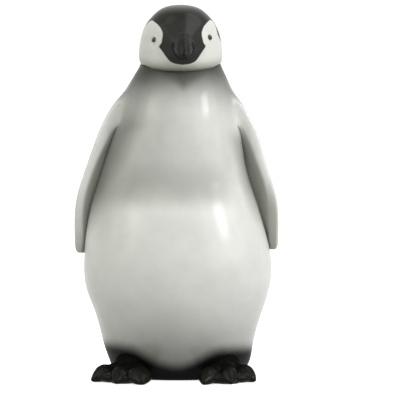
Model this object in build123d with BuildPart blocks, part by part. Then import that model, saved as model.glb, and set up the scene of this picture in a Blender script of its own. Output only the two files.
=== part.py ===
from build123d import *

import os
from dataclasses import dataclass
from math import acos, degrees

# Penguin chick figurine, a hollow painted casting glued up from separate pieces.
# Millimetres. +Z is up, the figure faces -Y, its own left is +X.
# The origin is the middle of the felt that it stands on.

# Fits shared by every glued joint
glue_line = 0.15
stand_gap = 0.4
pin_diameter = 3.0
pin_skin = 1.5

# Walls of the castings
body_wall = 5.0
head_wall = 4.5


@dataclass
class TorsoLevel:
    """One horizontal slice of the torso: an ellipse with its own front and back reach."""

    height: float
    half_width: float
    front: float
    back: float
    sway: float = 0.0


# Neck joint, where the head sits on the body, nodding forward and turned a little to its left
neck_height = 168.4
neck_nod = 6.0
head_turn = 3.0
neck_overrun = 8.0

# Torso, from the rim it stands on up to the neck
rim = TorsoLevel(height=stand_gap, half_width=33.5, front=27.0, back=27.0)
thigh = TorsoLevel(height=12.0, half_width=38.6, front=35.0, back=33.0, sway=1.4)
hip = TorsoLevel(height=30.0, half_width=43.4, front=41.5, back=36.5, sway=1.0)
belly = TorsoLevel(height=58.0, half_width=50.5, front=44.5, back=38.0, sway=0.3)
midriff = TorsoLevel(height=84.0, half_width=44.3, front=41.0, back=35.5)
waist = TorsoLevel(height=107.0, half_width=37.2, front=32.6, back=31.6)
chest = TorsoLevel(height=126.0, half_width=32.6, front=32.4, back=28.5)
shoulder = TorsoLevel(height=147.0, half_width=29.4, front=29.4, back=25.8, sway=0.5)
collar = TorsoLevel(height=159.5, half_width=26.0, front=24.8, back=23.6, sway=1.5)
neck = TorsoLevel(height=neck_height, half_width=21.6, front=21.2, back=21.2, sway=2.0)
neck_end = TorsoLevel(height=neck_height + neck_overrun, half_width=19.6, front=19.4, back=19.4, sway=2.0)
torso_levels = (rim, thigh, hip, belly, midriff, waist, chest, shoulder, collar, neck, neck_end)

# Neck socket in the body and the head's spigot in it
neck_deck = 6.0
neck_bore = 26.0
spigot_length = 10.0
spigot_wall = 3.0

# Base plate in a rebate under the body, and the felt under it
plate_thickness = 4.0
rim_width = 5.0
ledge_width = 4.0
ledge_thickness = 3.0
felt_thickness = 1.4
felt_margin = 5.0

# Head: a dome on the neck joint, outline from the joint up to the crown
cheek_radius = 22.4
cheek_height = 4.4
temple_radius = 21.9
temple_height = 10.8
brow_radius = 20.4
brow_height = 17.2
cap_radius = 17.0
cap_height = 23.6
crown_radius = 9.9
crown_height = 29.9
head_height = 31.6

# Feathered muzzle that carries the bill
muzzle_height = 14.6
muzzle_droop = 5.0
muzzle_proud = 1.6
muzzle_root_reach = 13.0
muzzle_root_width = 25.0
muzzle_root_height = 21.0
muzzle_width = 16.4
muzzle_tip_height = 17.2

# Bill, upper and lower halves meeting at the mouth line
bill_length = 15.0
lower_bill_length = 12.5
bill_width = 14.2
bill_tip_width = 3.0
upper_bill_depth = 8.6
upper_bill_tip_depth = 2.2
lower_bill_depth = 6.0
lower_bill_tip_depth = 1.4
mouth_offset = -0.4
bill_bulge_share = 0.55
bill_bulge_width = 9.6
upper_bill_bulge_depth = 6.2
lower_bill_bulge_depth = 4.3
bill_peg_diameter = 2.4
bill_peg_length = 5.0
bill_peg_root = 1.0
upper_peg_rise = 3.8
lower_peg_drop = 2.8

# Eyes: glass beads in round sockets, the right one set a little lower
eye_diameter = 3.4
eye_bearing = 47.0
right_eye_height = 15.1
left_eye_height = 16.3
eye_sunk = 0.6


@dataclass
class FlipperLevel:
    """One horizontal slice of a flipper: a drop shape, blunt in front and thin behind."""

    height: float
    standoff: float
    lead: float
    chord: float
    edge: float
    trail: float
    flare: float


# Flipper, from the root buried in the shoulder down to the tip
# standoff is how far the outer edge stands off the flank, lead is how far forward it reaches
flipper_levels = (
    FlipperLevel(height=158.0, standoff=-1.2, lead=7.0, chord=15.0, edge=8.0, trail=3.0, flare=8.0),
    FlipperLevel(height=148.0, standoff=4.6, lead=10.0, chord=22.0, edge=9.6, trail=3.0, flare=10.0),
    FlipperLevel(height=137.0, standoff=9.8, lead=12.0, chord=27.0, edge=11.0, trail=3.0, flare=15.0),
    FlipperLevel(height=124.0, standoff=12.8, lead=13.0, chord=29.0, edge=7.4, trail=2.8, flare=22.0),
    FlipperLevel(height=110.0, standoff=14.0, lead=13.0, chord=29.0, edge=6.4, trail=2.6, flare=25.0),
    FlipperLevel(height=97.0, standoff=14.0, lead=12.0, chord=27.0, edge=6.0, trail=2.6, flare=26.0),
    FlipperLevel(height=85.0, standoff=11.2, lead=10.0, chord=23.0, edge=5.8, trail=2.6, flare=25.0),
    FlipperLevel(height=75.0, standoff=7.8, lead=6.5, chord=17.0, edge=6.0, trail=2.8, flare=19.0),
    FlipperLevel(height=69.5, standoff=6.2, lead=3.6, chord=11.0, edge=5.6, trail=3.2, flare=9.0),
    FlipperLevel(height=67.0, standoff=5.4, lead=2.4, chord=8.0, edge=4.4, trail=2.6, flare=9.0),
)
flipper_pin_heights = (138.0, 146.0)
flipper_pin_front = 3.0
flipper_pin_depth = 3.5


@dataclass
class Toe:
    """One toe, a tapering bullet from the ankle to its tip on the ground."""

    tip_x: float
    tip_y: float
    root_diameter: float
    knuckle_diameter: float


# Feet: ankle spot, then the inner, middle and outer toes
right_ankle = (-24.0, -20.0)
right_toes = (
    Toe(tip_x=-19.5, tip_y=-53.0, root_diameter=13.0, knuckle_diameter=10.6),
    Toe(tip_x=-32.5, tip_y=-48.0, root_diameter=13.0, knuckle_diameter=10.6),
    Toe(tip_x=-45.5, tip_y=-36.0, root_diameter=13.0, knuckle_diameter=10.0),
)
left_ankle = (24.5, -21.0)
left_toes = (
    Toe(tip_x=14.0, tip_y=-53.0, root_diameter=13.0, knuckle_diameter=10.6),
    Toe(tip_x=29.0, tip_y=-49.5, root_diameter=13.0, knuckle_diameter=10.6),
    Toe(tip_x=41.5, tip_y=-37.0, root_diameter=13.0, knuckle_diameter=10.0),
)
toe_root_reach = 3.0
toe_root_height = 5.0
toe_tip_height = 3.2
knuckle_share = 0.68
web_share = 0.72
web_thickness = 4.5
instep_diameter = 22.0
instep_top_diameter = 14.0
instep_height = 16.0
foot_pin_height = 6.5
foot_pin_spread = 8.0
foot_pin_depth = 6.0
sole_felt_diameter = 11.0
sole_felt_reach = 17.0

# Tail: a short wedge at the back that points down and out
tail_root_height = 20.0
tail_root_back = 24.0
tail_length = 24.0
tail_pitch = 32.0
tail_root_width = 26.0
tail_root_depth = 13.0
tail_tip_width = 11.0
tail_tip_depth = 3.6
tail_peg_height = 12.0
tail_peg_diameter = 6.0
tail_peg_root = 3.0


def torso(growth):
    """The torso's outer form, grown outwards (or inwards when negative) on every side."""
    with BuildPart() as form:
        for level in torso_levels:
            with BuildSketch(Plane.XY.offset(level.height)):
                with Locations((level.sway, (level.back - level.front) / 2)):
                    Ellipse(level.half_width + growth, (level.front + level.back) / 2 + growth)
        loft()
    return form.part


torso_form = torso(0)
torso_fit = torso(glue_line)


def surface_spot(form, start, direction):
    """The plane where a straight line first meets a form, facing back along that line."""
    hit = form.find_intersection_points(Axis(start, direction))[0][0]
    return Plane(origin=hit, z_dir=-Vector(direction))


def flank(side, height):
    """How far out the torso's side lies at a height; side is +1 for the left, -1 for the right."""
    start = (side * belly.half_width * 2, 0, height)
    return surface_spot(torso_form, start, (-side, 0, 0)).origin.X


def flipper(side):
    """A flipper before it is fitted to the body; side is +1 for the left, -1 for the right."""
    with BuildPart() as form:
        for level in flipper_levels:
            nose = level.edge / 2
            heel = level.trail / 2
            span = level.chord - nose - heel
            tangent = Vector(1, 0).rotate(Axis.Z, degrees(acos((nose - heel) / span)))
            edge_x = flank(side, level.height) + side * (level.standoff - nose)
            backwards = Vector(0, 1).rotate(Axis.Z, side * level.flare)
            with BuildSketch(Plane(origin=(edge_x, nose - level.lead, level.height), x_dir=backwards)):
                with BuildLine():
                    nose_top = (tangent.X * nose, tangent.Y * nose)
                    nose_foot = (tangent.X * nose, -tangent.Y * nose)
                    heel_top = (span + tangent.X * heel, tangent.Y * heel)
                    heel_foot = (span + tangent.X * heel, -tangent.Y * heel)
                    ThreePointArc(nose_foot, (-nose, 0), nose_top)
                    Line(nose_top, heel_top)
                    ThreePointArc(heel_top, (span + heel, 0), heel_foot)
                    Line(heel_foot, nose_foot)
                make_face()
        loft()
    return form.part


def toe_form(ankle, toe):
    """A toe as a body of revolution about its sloping axis."""
    tip = Vector(toe.tip_x, toe.tip_y, toe_tip_height)
    middle = Vector(ankle[0], ankle[1], toe_root_height)
    root = middle + (tip - middle).normalized() * toe_root_reach
    along = tip - root
    section = Plane(origin=root, x_dir=along, z_dir=along.cross(Vector(0, 0, 1)))
    knuckle = (along.length * knuckle_share, toe.knuckle_diameter / 2)
    with BuildPart() as form:
        with BuildSketch(section):
            with BuildLine():
                Polyline((along.length, 0), (0, 0), (0, toe.root_diameter / 2))
                Spline((0, toe.root_diameter / 2), knuckle, (along.length, 0), tangents=((1, 0), (0, -1)))
            make_face()
        revolve(axis=Axis(root, along))
    return form.part


def foot(ankle, toes):
    """A foot with its flat sole, before it is fitted to the body."""
    web_corners = [ankle]
    for toe in toes:
        reach = Vector(toe.tip_x - ankle[0], toe.tip_y - ankle[1]) * web_share
        web_corners.append((ankle[0] + reach.X, ankle[1] + reach.Y))
    with BuildPart() as form:
        for toe in toes:
            add(toe_form(ankle, toe))
        with BuildSketch(Plane.XY.offset(stand_gap)):
            Polygon(*web_corners, align=None)
        extrude(amount=web_thickness)
        with Locations((ankle[0], ankle[1], stand_gap)):
            Cone(
                instep_diameter / 2,
                instep_top_diameter / 2,
                instep_height,
                align=(Align.CENTER, Align.CENTER, Align.MIN),
            )
        split(bisect_by=Plane.XY.offset(stand_gap), keep=Keep.TOP)
    return form.part


def sole_felt_spot(ankle, toes):
    """Where a sole felt lies under the ball of a foot, on the ground."""
    middle_toe = toes[1]
    along = Vector(middle_toe.tip_x - ankle[0], middle_toe.tip_y - ankle[1]).normalized()
    return Plane(origin=(ankle[0] + along.X * sole_felt_reach, ankle[1] + along.Y * sole_felt_reach, 0))


def drill(spots, diameter, inward, outward):
    """Straight pins or holes along the given planes, reaching below and above them."""
    with BuildPart() as form:
        for spot in spots:
            with BuildSketch(spot.offset(-inward)):
                Circle(diameter / 2)
            extrude(amount=inward + outward)
    return form.part


# Joint planes on the torso and the head's own frame
far_off = 2 * neck_height
neck_plane = Plane(
    origin=(neck.sway, (neck.back - neck.front) / 2, neck_height),
    x_dir=(1, 0, 0),
    z_dir=Vector(0, 0, 1).rotate(Axis.X, neck_nod),
)
flipper_spots = {
    side: [
        surface_spot(torso_form, (side * far_off, -flipper_pin_front, height), (-side, 0, 0))
        for height in flipper_pin_heights
    ]
    for side in (-1, 1)
}
foot_spots = {
    side: [
        surface_spot(torso_form, (ankle[0] + shift, -far_off, foot_pin_height), (0, 1, 0))
        for shift in (-foot_pin_spread / 2, foot_pin_spread / 2)
    ]
    for side, ankle in ((-1, right_ankle), (1, left_ankle))
}
tail_spot = surface_spot(torso_form, (0, far_off, tail_peg_height), (0, -1, 0))
pin_engagement = body_wall - pin_skin
pin_hole = pin_diameter + 2 * glue_line
pieces = {}

plate_middle = (rim.sway, (rim.back - rim.front) / 2)
plate_half_width = rim.half_width - rim_width
plate_half_depth = (rim.front + rim.back) / 2 - rim_width
plate_top = stand_gap + plate_thickness

# Body shell: hollow casting with a neck socket, a plate rebate and holes for pins and pegs
with BuildPart() as body_cavity:
    add(torso(-body_wall))
    split(bisect_by=Plane.XY.offset(plate_top + ledge_thickness), keep=Keep.TOP)
    split(bisect_by=neck_plane.offset(-neck_deck), keep=Keep.BOTTOM)

with BuildPart() as body_shell:
    add(torso_form)
    split(bisect_by=neck_plane, keep=Keep.BOTTOM)
    add(body_cavity.part, mode=Mode.SUBTRACT)
    with BuildSketch(neck_plane):
        Circle(neck_bore / 2)
    extrude(amount=-2 * neck_deck, mode=Mode.SUBTRACT)
    with BuildSketch(Plane.XY.offset(stand_gap)):
        with Locations(plate_middle):
            Ellipse(plate_half_width + glue_line, plate_half_depth + glue_line)
    extrude(amount=plate_thickness + glue_line, mode=Mode.SUBTRACT)
    with BuildSketch(Plane.XY.offset(stand_gap)):
        with Locations(plate_middle):
            Ellipse(plate_half_width - ledge_width, plate_half_depth - ledge_width)
    extrude(amount=plate_thickness + 2 * ledge_thickness, mode=Mode.SUBTRACT)
    for side in (-1, 1):
        add(drill(flipper_spots[side], pin_hole, pin_engagement, pin_diameter), mode=Mode.SUBTRACT)
        add(drill(foot_spots[side], pin_hole, pin_engagement, pin_diameter), mode=Mode.SUBTRACT)
    tail_hole = tail_peg_diameter + 2 * glue_line
    add(drill([tail_spot], tail_hole, pin_engagement, tail_peg_root), mode=Mode.SUBTRACT)
pieces["body_shell"] = body_shell.part

# Head: a domed casting with the muzzle, which stands on the neck joint by its hollow spigot
head_seat = neck_plane.offset(glue_line).rotated((0, 0, head_turn))
head_section = Plane(origin=head_seat.origin, x_dir=head_seat.x_dir, z_dir=-head_seat.y_dir)
head_axis = Axis(head_seat.origin, head_seat.z_dir)
muzzle_plane = Plane(head_seat.location * Location((0, 0, muzzle_height), (90 + muzzle_droop, 0, 0)))
bill_seat = muzzle_plane.offset(cheek_radius + muzzle_proud)
bill_root = bill_seat.offset(glue_line)


def head_dome(wall):
    """The head's dome, drawn in by a wall on every side."""
    in_width = (cheek_radius - wall) / cheek_radius
    in_height = (head_height - wall) / head_height
    outline = [
        (neck.half_width, 0),
        (cheek_radius, cheek_height),
        (temple_radius, temple_height),
        (brow_radius, brow_height),
        (cap_radius, cap_height),
        (crown_radius, crown_height),
        (0, head_height),
    ]
    curve = [(radius * in_width, height * in_height) for radius, height in outline]
    with BuildPart() as form:
        with BuildSketch(head_section):
            with BuildLine():
                Spline(*curve, tangents=((0.2, 1), (-1, 0)))
                Polyline(curve[-1], (0, 0), curve[0])
            make_face()
        revolve(axis=head_axis)
    return form.part


def eye_spot(side, height):
    """Where an eye bead's middle lies, sunk into the head's surface."""
    bearing = Vector(0, -1).rotate(Axis.Z, side * eye_bearing)
    start = head_seat.from_local_coords(bearing * (2 * cheek_radius) + Vector(0, 0, height))
    middle = head_seat.from_local_coords(Vector(0, 0, height))
    return surface_spot(head_dome(0), start, middle - start).offset(-eye_sunk)


upper_peg_spot = Plane(bill_root.location * Location((0, mouth_offset + upper_peg_rise, 0)))
lower_peg_spot = Plane(bill_root.location * Location((0, mouth_offset - lower_peg_drop, 0)))
eye_spots = {-1: eye_spot(-1, right_eye_height), 1: eye_spot(1, left_eye_height)}

with BuildPart() as head_cavity:
    add(head_dome(head_wall))
    split(bisect_by=head_seat.offset(head_wall), keep=Keep.TOP)

with BuildPart() as head_shell:
    add(head_dome(0))
    with BuildSketch(muzzle_plane.offset(muzzle_root_reach)):
        Ellipse(muzzle_root_width / 2, muzzle_root_height / 2)
    with BuildSketch(bill_seat):
        Ellipse(muzzle_width / 2, muzzle_tip_height / 2)
    loft()
    with BuildSketch(head_seat):
        Circle(neck_bore / 2 - glue_line)
    extrude(amount=-spigot_length)
    add(head_cavity.part, mode=Mode.SUBTRACT)
    with BuildSketch(head_seat.offset(-spigot_length)):
        Circle(neck_bore / 2 - glue_line - spigot_wall)
    extrude(amount=spigot_length + 2 * head_wall, mode=Mode.SUBTRACT)
    peg_hole = bill_peg_diameter + 2 * glue_line
    add(drill([upper_peg_spot, lower_peg_spot], peg_hole, bill_peg_length, bill_peg_root), mode=Mode.SUBTRACT)
    with Locations(*[spot.location for spot in eye_spots.values()]):
        Sphere(eye_diameter / 2 + glue_line, mode=Mode.SUBTRACT)
pieces["head_shell"] = head_shell.part

for name, spot in (("right_eye", eye_spots[-1]), ("left_eye", eye_spots[1])):
    with BuildPart(spot) as eye:
        Sphere(eye_diameter / 2)
    pieces[name] = eye.part


def bill_half(side, length, depths, peg_spot):
    """Half of the bill: side is +1 above the mouth line, -1 below it."""
    mouth = mouth_offset + side * glue_line / 2
    reaches = (0, bill_bulge_share * length, length)
    widths = (bill_width, bill_bulge_width, bill_tip_width)
    with BuildPart() as form:
        for reach, width, depth in zip(reaches, widths, depths):
            with BuildSketch(bill_root.offset(reach)):
                with BuildLine():
                    Line((-width / 2, mouth), (width / 2, mouth))
                    EllipticalCenterArc((0, mouth), width / 2, depth, arc_size=side * 180)
                make_face()
        loft()
        add(drill([peg_spot], bill_peg_diameter, bill_peg_length - glue_line, bill_peg_root))
    return form.part


upper_depths = (upper_bill_depth, upper_bill_bulge_depth, upper_bill_tip_depth)
lower_depths = (lower_bill_depth, lower_bill_bulge_depth, lower_bill_tip_depth)
pieces["upper_bill"] = bill_half(1, bill_length, upper_depths, upper_peg_spot)
pieces["lower_bill"] = bill_half(-1, lower_bill_length, lower_depths, lower_peg_spot)

# Flippers, fitted to the shoulders and pinned
for name, side in (("right_flipper", -1), ("left_flipper", 1)):
    with BuildPart() as flipper_piece:
        add(flipper(side))
        add(torso_fit, mode=Mode.SUBTRACT)
        add(drill(flipper_spots[side], pin_hole, pin_diameter, flipper_pin_depth), mode=Mode.SUBTRACT)
    pieces[name] = flipper_piece.part

with BuildPart() as flipper_pins:
    for spots in flipper_spots.values():
        add(drill(spots, pin_diameter, pin_engagement - glue_line, flipper_pin_depth - glue_line))
pieces["flipper_pins"] = flipper_pins.part

# Feet, fitted to the front of the body and pinned, each with a felt under the ball
for name, side, ankle, toes in (
    ("right", -1, right_ankle, right_toes),
    ("left", 1, left_ankle, left_toes),
):
    felt_spot = sole_felt_spot(ankle, toes)
    with BuildPart() as foot_piece:
        add(foot(ankle, toes))
        add(torso_fit, mode=Mode.SUBTRACT)
        add(drill(foot_spots[side], pin_hole, pin_diameter, foot_pin_depth), mode=Mode.SUBTRACT)
        with BuildSketch(felt_spot):
            Circle(sole_felt_diameter / 2 + glue_line)
        extrude(amount=felt_thickness + glue_line, mode=Mode.SUBTRACT)
    pieces[f"{name}_foot"] = foot_piece.part
    with BuildPart() as sole_felt:
        with BuildSketch(felt_spot):
            Circle(sole_felt_diameter / 2)
        extrude(amount=felt_thickness)
    pieces[f"{name}_sole_felt"] = sole_felt.part

with BuildPart() as foot_pins:
    for spots in foot_spots.values():
        add(drill(spots, pin_diameter, pin_engagement - glue_line, foot_pin_depth - glue_line))
pieces["foot_pins"] = foot_pins.part

# Tail: a wedge fitted to the back of the body, with its own peg
tail_plane = Plane(
    origin=(0, tail_root_back, tail_root_height),
    x_dir=(1, 0, 0),
    z_dir=Vector(0, 1, 0).rotate(Axis.X, -tail_pitch),
)
with BuildPart() as tail:
    with BuildSketch(tail_plane):
        Ellipse(tail_root_width / 2, tail_root_depth / 2)
    with BuildSketch(tail_plane.offset(tail_length)):
        Ellipse(tail_tip_width / 2, tail_tip_depth / 2)
    loft()
    add(torso_fit, mode=Mode.SUBTRACT)
    add(drill([tail_spot], tail_peg_diameter, pin_engagement - glue_line, tail_peg_root))
pieces["tail"] = tail.part

# Base plate that closes the body, with a recess for its felt
with BuildPart() as base_plate:
    with BuildSketch(Plane.XY.offset(stand_gap)):
        with Locations(plate_middle):
            Ellipse(plate_half_width, plate_half_depth)
    extrude(amount=plate_thickness)
    with BuildSketch(Plane.XY.offset(stand_gap)):
        with Locations(plate_middle):
            Ellipse(plate_half_width - felt_margin + glue_line, plate_half_depth - felt_margin + glue_line)
    extrude(amount=felt_thickness + glue_line - stand_gap, mode=Mode.SUBTRACT)
pieces["base_plate"] = base_plate.part

with BuildPart() as base_felt:
    with BuildSketch():
        with Locations(plate_middle):
            Ellipse(plate_half_width - felt_margin, plate_half_depth - felt_margin)
    extrude(amount=felt_thickness)
pieces["base_felt"] = base_felt.part

os.makedirs("parts", exist_ok=True)
for name, piece in pieces.items():
    piece.label = name
    export_step(piece, f"parts/{name}.step")
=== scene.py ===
import math

import bmesh
import bpy
from mathutils import Matrix, Vector


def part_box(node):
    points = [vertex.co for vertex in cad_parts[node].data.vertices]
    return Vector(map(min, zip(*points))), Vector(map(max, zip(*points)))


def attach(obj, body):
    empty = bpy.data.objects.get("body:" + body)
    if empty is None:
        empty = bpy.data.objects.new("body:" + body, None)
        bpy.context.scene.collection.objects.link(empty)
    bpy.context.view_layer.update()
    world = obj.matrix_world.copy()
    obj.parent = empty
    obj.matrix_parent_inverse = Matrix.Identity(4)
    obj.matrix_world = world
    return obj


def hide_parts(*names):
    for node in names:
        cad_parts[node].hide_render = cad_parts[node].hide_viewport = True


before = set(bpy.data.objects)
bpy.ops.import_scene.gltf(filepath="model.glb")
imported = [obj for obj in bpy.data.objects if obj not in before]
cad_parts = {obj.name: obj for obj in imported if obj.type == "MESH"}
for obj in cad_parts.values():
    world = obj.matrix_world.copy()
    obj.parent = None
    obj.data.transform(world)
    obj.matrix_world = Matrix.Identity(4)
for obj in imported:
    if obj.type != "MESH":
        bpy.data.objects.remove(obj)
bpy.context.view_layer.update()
mm = 0.001
print("frame loaded,", len(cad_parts), "nodes")


# modelling helpers

def eased(low, high, value):  # 0 below low, 1 above high, smooth between
    share = min(max((value - low) / (high - low), 0.0), 1.0)
    return share * share * (3.0 - 2.0 * share)


def bell(offset, width):  # 1 on the line, 0 at a width from it
    return 1.0 - eased(0.0, width, abs(offset))


def alongKeys(keys, place):  # smooth curve through rows of (place, value, value, ...)
    place = min(max(place, keys[0][0]), keys[-1][0])
    first = max(i for i in range(len(keys) - 1) if keys[i][0] <= place)
    before, start, end, after = (keys[min(max(first + i, 0), len(keys) - 1)] for i in (-1, 0, 1, 2))
    span = end[0] - start[0]
    share = (place - start[0]) / span
    rest = 1.0 - share
    values = []
    for column in range(1, len(start)):
        leaving = span * (end[column] - before[column]) / (end[0] - before[0])
        arriving = span * (after[column] - start[column]) / (after[0] - start[0])
        values.append(
            start[column] * (1 + 2 * share) * rest ** 2 + leaving * share * rest ** 2
            + end[column] * (1 + 2 * rest) * share ** 2 - arriving * rest * share ** 2
        )
    return values


def newPiece(name, bm):
    bmesh.ops.recalc_face_normals(bm, faces=bm.faces)
    mesh = bpy.data.meshes.new(name)
    bm.to_mesh(mesh)
    bm.free()
    mesh.shade_smooth()
    piece = bpy.data.objects.new(name, mesh)
    bpy.context.scene.collection.objects.link(piece)
    return piece


def settled(piece):  # the modifiers become the mesh
    graph = bpy.context.evaluated_depsgraph_get()
    mesh = bpy.data.meshes.new_from_object(piece.evaluated_get(graph))
    piece.modifiers.clear()
    piece.data = mesh
    return piece


def subdivided(piece, levels):
    smooth = piece.modifiers.new("subdivision", "SUBSURF")
    smooth.levels = levels
    smooth.render_levels = levels
    return settled(piece)


def growRing(bm, edges):  # one more ring out of an open loop of edges
    made = bmesh.ops.extrude_edge_only(bm, edges=edges)["geom"]
    verts = [part for part in made if isinstance(part, bmesh.types.BMVert)]
    return [part for part in made if isinstance(part, bmesh.types.BMEdge)], verts


def firstRing(bm, sides):  # a capped circle whose verts remember their bearing
    bearing = bm.verts.layers.float.get("bearing")
    verts = bmesh.ops.create_circle(bm, cap_ends=True, segments=sides, radius=mm)["verts"]
    for vert in verts:
        vert[bearing] = math.atan2(vert.co.y, vert.co.x)
    own = set(verts)
    edges = [edge for edge in bm.edges if edge.verts[0] in own and edge.verts[1] in own]
    return edges, verts


def ball(bm, radius, shape=Matrix(), sides=32, rings=20):
    bmesh.ops.create_uvsphere(bm, u_segments=sides, v_segments=rings, radius=radius, matrix=shape)


# a tube through stations of (centre, side, up, half width, rise, drop) in mm, closed at both ends
def tube(bm, stations, sides, keel=1.0):
    bearing = bm.verts.layers.float.get("bearing") or bm.verts.layers.float.new("bearing")
    edges, verts = firstRing(bm, sides)
    for number, (centre, side, up, halfWidth, rise, drop) in enumerate(stations):
        if number:
            edges, verts = growRing(bm, edges)
        for vert in verts:
            lift = math.sin(vert[bearing])
            lift = lift ** keel if lift > 0 else lift
            across = Vector(side) * halfWidth * math.cos(vert[bearing])
            vert.co = (Vector(centre) + across + Vector(up) * lift * (rise if lift > 0 else drop)) * mm
    bmesh.ops.contextual_create(bm, geom=edges)


# torso and flippers grow as one skin, so the shoulders flow, and are cut apart afterwards

torso = {
    "sides": 32,
    "gain": 1.0065,  # gives back what subdivision takes off a ring
    "rows": (  # heights of the rings
        0.4, 3.5, 9, 17, 27, 37, 47, 57, 67, 77, 87, 93, 98, 102, 106, 111, 117,
        127, 137, 147, 157, 162, 165.5, 167.6, 168.4,
    ),
    "levels": (  # height, half width, front, back, sway
        (0.4, 33.5, 27.0, 27.0, 0.3), (7, 37.3, 31.9, 30.7, 1.7), (12, 38.6, 35.0, 33.0, 1.6),
        (21, 41.0, 38.9, 35.2, 0.1), (30, 42.9, 41.5, 36.5, 1.0), (37, 45.4, 42.7, 37.1, 1.0),
        (46, 49.1, 43.8, 37.6, 0.4), (58, 50.8, 44.6, 38.0, 0.5), (70, 49.4, 43.8, 37.3, 0.35),
        (84, 45.4, 40.8, 35.8, 0.1), (93, 42.8, 37.6, 34.4, 0.1), (99, 40.8, 35.2, 33.4, 0.1),
        (104, 39.1, 32.9, 32.4, 0.1), (108, 37.9, 31.9, 31.6, 0.1), (116, 35.6, 31.9, 30.2, 0.1),
        (126, 33.1, 32.3, 28.6, 0.0), (137, 31.2, 31.2, 27.2, 0.2), (147, 29.5, 29.4, 25.8, 0.5),
        (154, 28.0, 27.2, 24.8, 0.9), (159.5, 26.2, 24.8, 23.6, 1.4), (164.5, 23.1, 21.8, 22.4, 1.8),
        (168.4, 21.4, 20.0, 21.4, 2.0),
    ),
    "web": (  # height, how far the flank swells towards the right and the left flipper
        (66, 0.0, 0.0), (76, 2.2, 0.4), (88, 4.2, 0.8), (100, 5.6, 1.1), (107, 6.0, 1.2), (119, 5.2, 1.7),
        (126, 4.4, 3.0), (132, 3.2, 4.0), (138, 1.5, 2.8), (144, 0.0, 0.8), (150, 0.0, 0.0),
    ),
    "webSpans": ((-20, -6), (-5, 4)),  # depths over which that swelling comes and goes
    "nod": 6.0,  # tilt of the neck joint, degrees
    "nodSpan": (140, 168),  # heights over which the rings take it up
    "neckInset": 5.0,
    "rim": 5.0,  # width of the foot that it stands on
    "rebate": 4.1,  # depth of the seat of the base plate
    "creases": (0.8, 1.0),  # of both rims, and of the rebate
    "subdivisions": 3,
}

flipper = {
    "rows": (157, 147, 137),  # torso rows that it grows out of
    "columns": (2, 1, 0, -1, -2),  # torso sides, leading edge first
    "shares": (0.05, 0.22, 0.46, 0.75, 0.95),  # the same columns along the chord
    "trail": 2.8,  # how far the trailing edge stands off the body
    "bury": 1.2,  # how deep the back of the casting sits in the body
    "fall": 2.4,  # how soon the outer face falls to the trailing edge
    # the fold's floor by side, the right is -1: share of the inner standoff, leads behind the edge
    "fold": {-1: (0.66, 0.5), 1: (0.5, 0.6)},
    "foldStart": 1.5,  # stations of opening that it has in the armpit
    "bank": -0.3,  # where its other bank dips into the body, in leads
    "slant": 0.5,  # how much the outer and inner heights draw together at the trailing edge
    "lean": {  # height, how much further out this side's flipper hangs
        -1: ((67, 0.0), (86, 0.1), (99, 0.7), (114, 0.5), (128, -0.1), (138, 0.3), (152, 0.0)),
        1: (
            (67, -1.3), (74, -1.2), (84, -0.6), (94, 0.0), (104, 0.3),
            (114, 0.1), (124, 0.8), (131, 1.8), (138, 0.6), (152, 0.0),
        ),
    },
    "lift": {-1: 0.1, 1: 1.9},  # how much higher this side's tip ends
    "liftSpan": (66, 78),  # heights over which it takes that up
    "blend": 3,  # stations over which the body's paint becomes the flipper's
    "stations": (  # outer standoff, outer height, inner standoff, inner height, lead, chord
        (4.9, 150.5, 1.2, 132.5, 10.3, 21.0), (9.2, 141.5, 2.8, 127.0, 11.5, 24.5),
        (12.1, 133.0, 4.2, 122.5, 12.5, 27.0), (13.6, 125.0, 5.1, 118.0, 13.0, 29.0),
        (14.5, 111.0, 6.2, 109.0, 13.0, 29.0), (14.7, 97.0, 6.3, 96.5, 12.0, 27.0),
        (12.0, 85.0, 4.2, 85.0, 10.0, 23.0), (8.9, 76.0, 1.8, 76.0, 7.0, 17.5),
        (7.3, 71.0, 1.4, 71.0, 5.0, 13.5), (6.0, 68.0, 1.4, 68.0, 3.4, 10.0),
        (3.8, 66.6, 2.0, 66.6, 1.4, 5.4),
    ),
}

skinMarks = ("inside", "reach")  # on the verts: inner face of a flipper, and way from the body to it


def bodySide(side, depth, height):  # how far the torso reaches to one side
    halfWidth, front, back, sway = alongKeys(torso["levels"], height)
    share = (depth - (back - front) / 2) / ((front + back) / 2)
    return side * sway + halfWidth * math.sqrt(max(1.0 - share * share, 0.0))


def webSwell(side, depth, height):  # how far the flank swells out to meet a flipper
    swell = alongKeys(torso["web"], height)[0 if side < 0 else 1]
    comes, goes = torso["webSpans"]
    return swell * eased(*comes, depth) * (1.0 - eased(*goes, depth))


def growPatch(bm, patch):  # extrudes a patch of verts and returns the new one in the same order
    corners = [[vert.co.copy() for vert in row] for row in patch]
    own = {vert for row in patch for vert in row}
    faces = [face for face in {f for vert in own for f in vert.link_faces} if own.issuperset(face.verts)]
    made = bmesh.ops.extrude_face_region(bm, geom=faces)["geom"]
    fresh = [part for part in made if isinstance(part, bmesh.types.BMVert)]
    bmesh.ops.delete(bm, geom=faces, context="FACES")
    return [[min(fresh, key=lambda vert: (vert.co - spot).length) for spot in row] for row in corners]


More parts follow.
